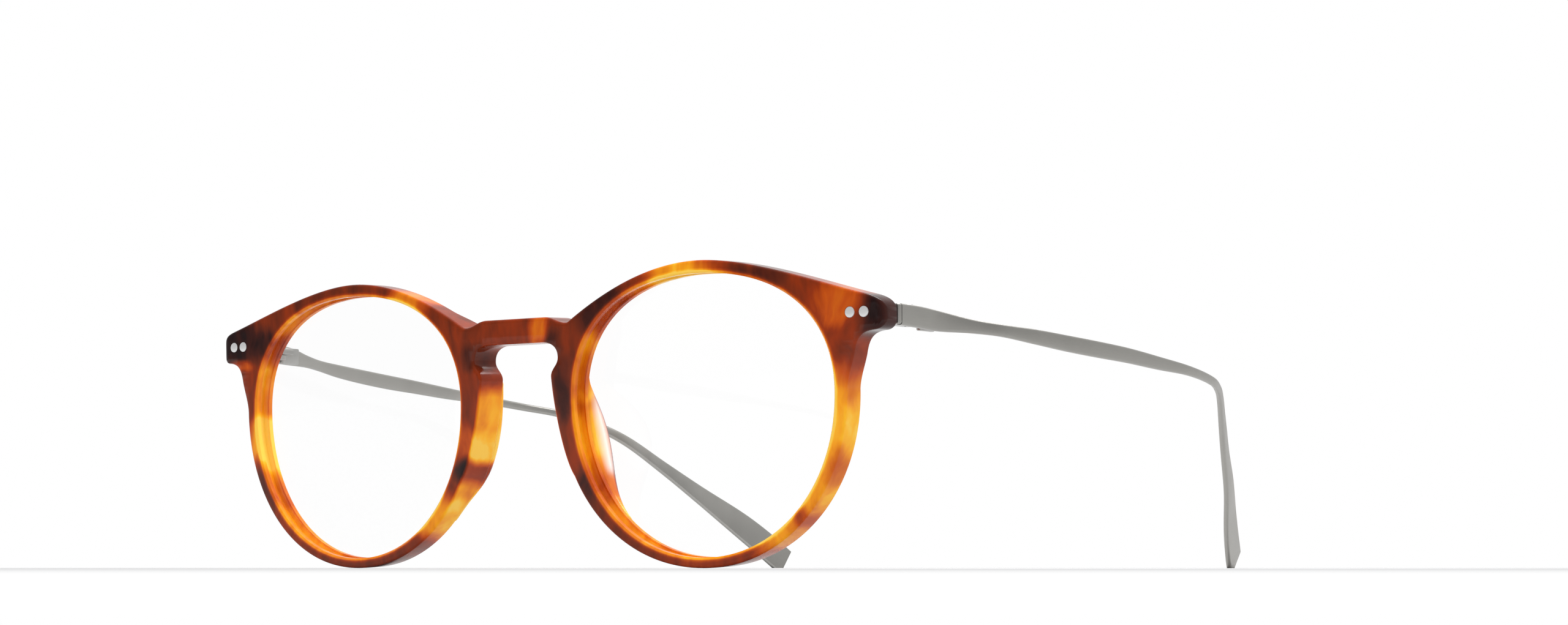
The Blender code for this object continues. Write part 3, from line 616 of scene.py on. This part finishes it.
for name, side in SIDES.items():
    pad = add_piece("nose_rest_" + name, pad_mesh(side), HONEY, "front", ["nose_pad_" + name])
    soften = pad.modifiers.new("carved", "SUBSURF")
    soften.levels = soften.render_levels = 1

# ==== Lenses ============================================================================
# Clear demo lenses, 1.6 mm thick, edged to the groove with a safety bevel. They are slightly
# domed, and snapped into the warmed front from behind.

LENS_THICKNESS = 1.6 * MM
LENS_INSET = 0.7 * MM
LENS_DOME = 0.3 * MM
LENS_BEVEL = 0.35 * MM
LENS_RINGS = 10

glass, tree, shader = new_material("clear_lens")
smudge = node(tree, "TexNoise", {"Vector": node(tree, "TexCoord").outputs["Object"], "Scale": 90.0,
                                 "Detail": 3.0})
haze = node(tree, "MapRange", {"Value": smudge.outputs["Fac"], "To Min": 0.0, "To Max": 0.03})
tint = ramp(tree, smudge.outputs["Fac"], ((0.3, (0.97, 0.985, 0.98)), (0.7, (0.985, 0.99, 0.985))))
tree.links.new(haze.outputs["Result"], shader.inputs["Roughness"])
tree.links.new(tint, shader.inputs["Base Color"])
shader.inputs["Transmission Weight"].default_value = 1.0
shader.inputs["IOR"].default_value = 1.5
shader.inputs["Alpha"].default_value = 0.02


def lens_mesh(side):
    """A domed disc that follows the eye opening, with a bevelled edge in the groove."""
    loop = eye_loop(side, 24)
    if side < 0:
        loop.reverse()
    edge = inset(loop, LENS_INSET)
    centre = (side * EYE_CENTRE, EYE_WAIST)
    front_depth = (SHEET - LENS_THICKNESS) / 2
    shares = [i / LENS_RINGS for i in range(1, LENS_RINGS)] + [0.985]
    work = bmesh.new()

    def row(share, depth):
        forward = LENS_DOME * (1 - share * share)
        return [from_front(centre[0] + (u - centre[0]) * share, centre[1] + (w - centre[1]) * share,
                           depth - forward) for u, w in edge]

    rings = [row(share, front_depth) for share in shares]
    rings += [row(1.0, front_depth + LENS_BEVEL), row(1.0, front_depth + LENS_THICKNESS - LENS_BEVEL)]
    rings += [row(share, front_depth + LENS_THICKNESS) for share in reversed(shares)]
    loft(work, rings)
    bmesh.ops.poke(work, faces=[face for face in work.faces if len(face.verts) > 4])
    return finish_mesh(work, "lens", 40)


for name, side in SIDES.items():
    add_piece("demo_lens_" + name, lens_mesh(side), glass, "front", ["lens_" + name])

# ==== Hinge plates and rivets ===========================================================
# Stamped steel plates let into the back of each end piece. Two nickel shield pins go
# through the acetate, flush and polished in front and peened over behind the plate.

KNUCKLE_RADIUS = 1.25 * MM
KNUCKLE_HEIGHT = 0.85 * MM
KNUCKLE_GAP = 0.15 * MM
STACK_HALF = 1.5 * KNUCKLE_HEIGHT + KNUCKLE_GAP
PLATE_THICKNESS = 1.1 * MM
METAL_EDGE = 0.12 * MM
PLATE_EDGE = 0.2 * MM
BORE_RADIUS = 0.53 * MM

joints = {joint["name"]: joint for joint in frame["joints"]}
AXES = {name: Vector(joints["fold_" + name]["pos_m"]) for name in SIDES}


def brushed_group():
    """Metal drawn along one direction: tone, roughness and the height of its fine lines."""
    group = make_group("drawn_metal",
                       (("Light", "Color", (0.6, 0.6, 0.6, 1)), ("Dark", "Color", (0.4, 0.4, 0.4, 1)),
                        ("Stretch", "Vector", (1.0, 0.05, 1.0)), ("Roughness", "Float", 0.35)),
                       (("Colour", "Color"), ("Roughness", "Float"), ("Height", "Float")))
    start = node(group, "NodeGroupInput").outputs
    place = node(group, "TexCoord").outputs["Object"]
    drawn = node(group, "VectorMath", {0: place, 1: start["Stretch"]}, operation="MULTIPLY").outputs[0]
    lines = node(group, "TexNoise", {"Vector": drawn, "Scale": 9000.0, "Detail": 3.0}).outputs["Fac"]
    wear = node(group, "TexNoise", {"Vector": place, "Scale": 160.0, "Detail": 3.0}).outputs["Fac"]
    blend = maths(group, "MULTIPLY_ADD", wear, 0.6, maths(group, "MULTIPLY", lines, 0.4))
    mix = node(group, "Mix", {"Factor": blend, "A": start["Dark"], "B": start["Light"]},
               data_type="RGBA")
    spread = maths(group, "MULTIPLY_ADD", maths(group, "SUBTRACT", wear, 0.5), 0.16, start["Roughness"])
    end = node(group, "NodeGroupOutput")
    group.links.new(mix.outputs["Result"], end.inputs["Colour"])
    group.links.new(spread, end.inputs["Roughness"])
    group.links.new(lines, end.inputs["Height"])
    return group


DRAWN_METAL = brushed_group()


def metal_material(name, light, dark, stretch, roughness, relief, metallic=1.0):
    material, tree, shader = new_material(name)
    drawn = node(tree, "Group", node_tree=DRAWN_METAL)
    drawn.inputs["Light"].default_value = (*light, 1)
    drawn.inputs["Dark"].default_value = (*dark, 1)
    drawn.inputs["Stretch"].default_value = stretch
    drawn.inputs["Roughness"].default_value = roughness
    tree.links.new(drawn.outputs["Colour"], shader.inputs["Base Color"])
    tree.links.new(drawn.outputs["Roughness"], shader.inputs["Roughness"])
    shader.inputs["Metallic"].default_value = metallic
    bump(tree, shader, drawn.outputs["Height"], 0.01 * MM, relief)
    return material


HINGE_STEEL = metal_material("hinge_steel", (0.47, 0.465, 0.445), (0.37, 0.365, 0.35),
                             stretch=(0.08, 1.0, 1.0), roughness=0.28, relief=0.25)
NICKEL = metal_material("rivet_silver", (0.86, 0.86, 0.85), (0.74, 0.74, 0.74),
                        stretch=(1.0, 1.0, 1.0), roughness=0.30, relief=0.08, metallic=0.45)


def tongue(side, axis, root_y, half_in, half_out, low, high):
    """A flat tongue with a round knuckle on the axis, its rims lightly broken."""
    forwards = 1 if root_y < axis.y else -1
    rows = []
    for height, shrink in ((low, METAL_EDGE), (low + METAL_EDGE, 0), (high - METAL_EDGE, 0),
                           (high, METAL_EDGE)):
        radius = KNUCKLE_RADIUS - shrink
        row = [Vector((axis.x + side * radius * math.cos(a),
                       axis.y + forwards * radius * math.sin(a), height))
               for a in (math.radians(6 * i) for i in range(31))]
        row.append(Vector((axis.x - side * (half_in - shrink), root_y, height)))
        row.append(Vector((axis.x + side * (half_out - shrink), root_y, height)))
        rows.append(row)
    work = bmesh.new()
    loft(work, rows)
    return finish_mesh(work, "tongue")


def screw_bore(axis, low_z, high_z):
    """The tool that opens a knuckle for the screw."""
    return lathe("bore", (axis.x, axis.y, low_z), (0, 0, 1),
                 ((BORE_RADIUS, 0.0), (BORE_RADIUS, high_z - low_z)), 32)


for name, side in SIDES.items():
    low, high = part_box("hinge_plate_" + name)
    axis = AXES[name]
    plate_back = low.y + PLATE_THICKNESS
    core = block("hinge_plate", low, (high.x, plate_back, high.z), PLATE_EDGE)
    tongues = []
    for bottom in (HINGE_HEIGHT - STACK_HALF, HINGE_HEIGHT + STACK_HALF - KNUCKLE_HEIGHT):
        reach_out = min(KNUCKLE_RADIUS, abs(high.x if side > 0 else low.x) - abs(axis.x) - 0.05 * MM)
        tongues.append(tongue(side, axis, plate_back - 0.4 * PLATE_THICKNESS, KNUCKLE_RADIUS,
                              reach_out, bottom, bottom + KNUCKLE_HEIGHT))
    leaf = cut(core, tongues, "UNION")
    leaf = cut(leaf, [screw_bore(axis, low.z - 1 * MM, high.z + 1 * MM)])
    add_piece("hinge_leaf_" + name, leaf, HINGE_STEEL, "front", ["hinge_plate_" + name])
    for place in ("inner", "outer"):
        rivet_low, rivet_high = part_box("rivet_" + place + "_" + name)
        centre = (rivet_low + rivet_high) / 2
        radius = (rivet_high.x - rivet_low.x) / 2
        length = plate_back + 0.3 * MM - rivet_low.y
        peened = length - 0.3 * MM
        profile = ((0.25 * radius, 0.0), (0.85 * radius, 0.005 * MM), (0.96 * radius, 0.03 * MM),
                   (radius, 0.08 * MM), (radius, peened), (1.3 * radius, peened + 0.05 * MM),
                   (1.15 * radius, peened + 0.2 * MM), (0.5 * radius, length))
        pin = lathe("shield_pin", (centre.x, rivet_low.y, centre.z), (0, 1, 0), profile, 48)
        add_piece("shield_pin_" + place + "_" + name, pin, NICKEL, "front",
                  ["rivet_" + place + "_" + name])

# ==== Hinge screws ======================================================================
# One slotted screw to a hinge, turned from the same silver-coloured metal as the rivets. It
# drops from above through the three knuckles, and the temple swings on it.

SCREW_RADIUS = 0.45 * MM
SCREW_HEAD = 0.8 * MM
SCREW_HEAD_HEIGHT = 0.3 * MM
SLOT_HALF = 0.11 * MM

for name, side in SIDES.items():
    low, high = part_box("hinge_screw_" + name)
    axis = AXES[name]
    head = SCREW_HEAD_HEIGHT
    shank = high.z - low.z - head
    profile = ((0.6 * SCREW_RADIUS, 0.0), (SCREW_RADIUS, 0.12 * MM), (SCREW_RADIUS, shank),
               (SCREW_HEAD, shank + 0.02 * MM), (SCREW_HEAD, shank + 0.6 * head),
               (0.85 * SCREW_HEAD, shank + 0.9 * head), (0.4 * SCREW_HEAD, shank + head))
    screw = lathe("hinge_pin", (axis.x, axis.y, low.z), (0, 0, 1), profile, 40)
    slot = block("slot", (axis.x - 2 * MM, axis.y - SLOT_HALF, high.z - 0.55 * head),
                 (axis.x + 2 * MM, axis.y + SLOT_HALF, high.z + 1 * MM))
    add_piece("slotted_screw_" + name, cut(screw, [slot]), NICKEL, "front", ["hinge_screw_" + name])

# ==== Temple hinge leaves ===============================================================
# A small steel leaf is brazed inside each temple. Its one knuckle turns between the two
# of the front.

LEAF_THICKNESS = 0.85 * MM
LEAF_EDGE = 0.18 * MM

for name, side in SIDES.items():
    low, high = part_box("temple_hinge_" + name)
    axis = AXES[name]
    start = axis.y + KNUCKLE_RADIUS + 2 * FIT_GAP
    inside = high.x - LEAF_THICKNESS if side > 0 else low.x + LEAF_THICKNESS
    outside = high.x if side > 0 else low.x
    core = block("temple_leaf", (min(inside, outside), start, low.z),
                 (max(inside, outside), high.y, high.z), LEAF_EDGE)
    level = HINGE_HEIGHT - KNUCKLE_HEIGHT / 2
    knuckle = tongue(side, axis, start + 0.8 * MM, KNUCKLE_RADIUS, abs(outside) - abs(axis.x) - 0.02 * MM,
                     level, level + KNUCKLE_HEIGHT)
    leaf = cut(cut(core, [knuckle], "UNION"), [screw_bore(axis, low.z - 3 * MM, high.z + 3 * MM)])
    add_piece("temple_leaf_" + name, leaf, HINGE_STEEL, "temple_" + name, ["temple_hinge_" + name])

# ==== Temples ===========================================================================
# Each is one strip of titanium, rolled and pressed: a flat blade at the hinge, a thin waist,
# a bend over the ear and a spatula tip. It is blasted and brushed to a warm satin grey.

STRAP_THICKNESS = 1.1 * MM
TIP_THICKNESS = 0.95 * MM
STEPS_PER_STATION = 6
END_BAND = 1.3 * MM
TEMPLE_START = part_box("temple_right")[0].y
STRAP_OUTER = HALF_FRONT - 0.1 * MM
TEMPLE_REACH = 133.6 * MM

# Share of the reach, share of the hinge height, how far out, and half of the blade height
TEMPLE_STATIONS = (
    (0.000, 1.000, 0.0 * MM, 1.55 * MM), (0.043, 0.996, 0.0 * MM, 1.60 * MM),
    (0.080, 0.988, 0.2 * MM, 1.52 * MM), (0.125, 0.975, 2.1 * MM, 1.04 * MM),
    (0.165, 0.964, 4.1 * MM, 0.92 * MM), (0.215, 0.948, 5.8 * MM, 1.12 * MM),
    (0.271, 0.931, 6.9 * MM, 1.24 * MM), (0.329, 0.916, 7.9 * MM, 1.26 * MM),
    (0.389, 0.902, 8.6 * MM, 1.18 * MM), (0.458, 0.882, 8.9 * MM, 1.04 * MM),
    (0.535, 0.862, 8.9 * MM, 0.78 * MM), (0.611, 0.833, 7.5 * MM, 0.68 * MM),
    (0.664, 0.806, 4.9 * MM, 0.68 * MM), (0.703, 0.767, 2.5 * MM, 0.75 * MM),
    (0.758, 0.674, -1.1 * MM, 0.95 * MM), (0.814, 0.534, -4.6 * MM, 1.20 * MM),
    (0.871, 0.388, -8.0 * MM, 1.75 * MM), (0.930, 0.230, -12.0 * MM, 2.60 * MM),
    (0.970, 0.117, -14.5 * MM, 2.85 * MM), (1.000, 0.027, -16.2 * MM, 2.85 * MM),
)
TITANIUM = metal_material("satin_titanium", (0.42, 0.41, 0.385), (0.32, 0.312, 0.29),
                          stretch=(1.0, 0.04, 1.0), roughness=0.38, relief=0.3)


def smooth_stations():
    """Points between the stations, on a curve that passes through each of them."""
    stations = [Vector(s) for s in TEMPLE_STATIONS]
    result = []
    for i in range(len(stations) - 1):
        before, start, end = stations[max(i - 1, 0)], stations[i], stations[i + 1]
        after = stations[min(i + 2, len(stations) - 1)]
        span = end[0] - start[0]
        leave = (end - before) * (span / max(end[0] - before[0], 1e-9))
        arrive = (after - start) * (span / max(after[0] - start[0], 1e-9))
        for step in range(STEPS_PER_STATION):
            t = step / STEPS_PER_STATION
            result.append(start * (2 * t**3 - 3 * t**2 + 1) + leave * (t**3 - 2 * t**2 + t)
                          + end * (3 * t**2 - 2 * t**3) + arrive * (t**3 - t**2))
    result.append(stations[-1])
    return result


def strap_section(centre, along, half, thickness, side, trim):
    """A flat strap's outline: two faces and rounded long edges, trimmed all round."""
    outward = Vector((side, 0, 0))
    outward = (outward - along * outward.dot(along)).normalized()
    up = along.cross(outward).normalized() * side
    radius = 0.36 * thickness
    ring = []
    for corner, (out, rise) in enumerate(((-radius, half - radius), (radius - thickness, half - radius),
                                          (radius - thickness, radius - half), (-radius, radius - half))):
        for step in range(5):
            angle = math.pi / 2 * (corner + step / 4)
            ring.append(centre + outward * (out + (radius - trim) * math.cos(angle))
                        + up * (rise + (radius - trim) * math.sin(angle)))
    return ring


def temple_mesh(side):
    points = [(Vector((side * (STRAP_OUTER + bow), TEMPLE_START + share * TEMPLE_REACH,
                       height * HINGE_HEIGHT)), half, share)
              for share, height, bow, half in smooth_stations()]
    rings = []
    for i, (centre, half, share) in enumerate(points):
        along = points[min(i + 1, len(points) - 1)][0] - points[max(i - 1, 0)][0]
        if share < 0.09:
            along = Vector((0, 1, 0))
        thickness = STRAP_THICKNESS + (TIP_THICKNESS - STRAP_THICKNESS) * share
        if i == 0:
            for back, trim in ((0.0, 0.30 * MM), (0.08 * MM, 0.14 * MM), (0.3 * MM, 0.05 * MM),
                               (END_BAND, 0.05 * MM), (END_BAND + 0.06 * MM, 0.0)):
                rings.append(strap_section(centre + along * back, along, half, thickness, side, trim))
        else:
            rings.append(strap_section(centre, along.normalized(), half, thickness, side, 0.0))
    work = bmesh.new()
    loft(work, rings)
    bmesh.ops.bisect_plane(work, geom=work.verts[:] + work.edges[:] + work.faces[:], plane_co=(0, 0, 0),
                           plane_no=(0, 0, -1), clear_outer=True, dist=0.001 * MM)
    bmesh.ops.holes_fill(work, edges=[edge for edge in work.edges if edge.is_boundary])
    return finish_mesh(work, "temple", 30)


for name, side in SIDES.items():
    add_piece("titanium_temple_" + name, temple_mesh(side), TITANIUM, "temple_" + name,
              ["temple_" + name])

# ==== Studio ============================================================================
# A plain pale table with a painted shadow, greyer near the glasses, under an even white sky. One
# wide lamp hangs overhead and a small one stands between the temples. The camera is close to the table.

FLOOR_HALF = 6.0
PAINTED_SHADOW_WITHIN = 0.12
PAINTED_SHADOW_ENDS = 0.60
floor_mesh = bpy.data.meshes.new("table")
floor_mesh.from_pydata([(-FLOOR_HALF, -FLOOR_HALF, 0), (FLOOR_HALF, -FLOOR_HALF, 0),
                        (FLOOR_HALF, FLOOR_HALF, 0), (-FLOOR_HALF, FLOOR_HALF, 0)], [], [(0, 1, 2, 3)])
table = bpy.data.objects.new("table", floor_mesh)
bpy.context.scene.collection.objects.link(table)
paper, tree, shader = new_material("table_with_painted_shadow")
# Painted shadow: the floor's colour greys towards the glasses
distance = node(tree, "VectorMath", {0: node(tree, "TexCoord").outputs["Object"]}, operation="LENGTH")
shaded = node(tree, "MapRange", {"Value": distance.outputs["Value"], "From Min": PAINTED_SHADOW_WITHIN,
                                 "From Max": PAINTED_SHADOW_ENDS}, interpolation_type="SMOOTHSTEP")
pale = ramp(tree, shaded.outputs["Result"], ((0.0, (0.56, 0.56, 0.565)), (1.0, (0.97, 0.97, 0.97))))
tree.links.new(pale, shader.inputs["Base Color"])
shader.inputs["Roughness"].default_value = 0.9
shader.inputs["Specular IOR Level"].default_value = 0.0
floor_mesh.materials.append(paper)

SKY_LIGHT = 1.05
world = bpy.data.worlds.new("studio")
bpy.context.scene.world = world
world.use_nodes = True
tree = world.node_tree
direction = node(tree, "TexCoord").outputs["Generated"]
parts = node(tree, "SeparateXYZ", {"Vector": direction}).outputs
backwards = maths(tree, "MULTIPLY_ADD", parts["Y"], 0.5, 0.5)
mirrored = maths(tree, "MULTIPLY_ADD", maths(tree, "POWER", backwards, 1.6), 0.70, 0.10)
mirrored = maths(tree, "MULTIPLY_ADD", maths(tree, "MAXIMUM", parts["Z"], 0.0), 0.20, mirrored)
path = node(tree, "LightPath").outputs
lit = node(tree, "Mix", {"Factor": path["Is Glossy Ray"], "A": SKY_LIGHT, "B": mirrored},
           data_type="FLOAT")
seen = maths(tree, "MAXIMUM", path["Is Camera Ray"], path["Is Transmission Ray"])
strength = node(tree, "Mix", {"Factor": seen, "A": lit.outputs["Result"], "B": 1.0}, data_type="FLOAT")
background = tree.nodes["Background"]
background.inputs["Color"].default_value = (1, 1, 1, 1)
tree.links.new(strength.outputs["Result"], background.inputs["Strength"])


def softbox(name, place, target, size, watts):
    """A round area lamp turned towards its target."""
    lamp = bpy.data.lights.new(name, "AREA")
    lamp.shape = "DISK"
    lamp.size = size
    lamp.energy = watts
    holder = bpy.data.objects.new(name, lamp)
    bpy.context.scene.collection.objects.link(holder)
    holder.location = place
    holder.rotation_euler = (Vector(target) - Vector(place)).to_track_quat("-Z", "Y").to_euler()


softbox("overhead", (0.1, 0.0, 0.8), (0, 0, 0.02), 0.8, 1.5)
softbox("between_temples", (0.04, 0.05, 0.20), (-0.07, 0.04, 0.02), 0.12, 0.30)

CAMERA_ASIDE = 317.8 * MM
CAMERA_BEFORE = 369.2 * MM
CAMERA_HEIGHT = 0.3 * MM
CAMERA_LENS = 72.06
CAMERA_YAW = math.radians(35.9)
CAMERA_PITCH = math.radians(4.63)
camera_data = bpy.data.cameras.new("camera")
camera_data.sensor_width = 36.0
camera_data.lens = CAMERA_LENS
camera_data.clip_start = 0.02
camera = bpy.data.objects.new("camera", camera_data)
bpy.context.scene.collection.objects.link(camera)
camera.location = (CAMERA_ASIDE, FRONT_FOOT_Y - CAMERA_BEFORE, CAMERA_HEIGHT)
camera.rotation_euler = (math.pi / 2 + CAMERA_PITCH, 0, CAMERA_YAW)
bpy.context.scene.camera = camera
bpy.context.scene.view_settings.view_transform = "Standard"
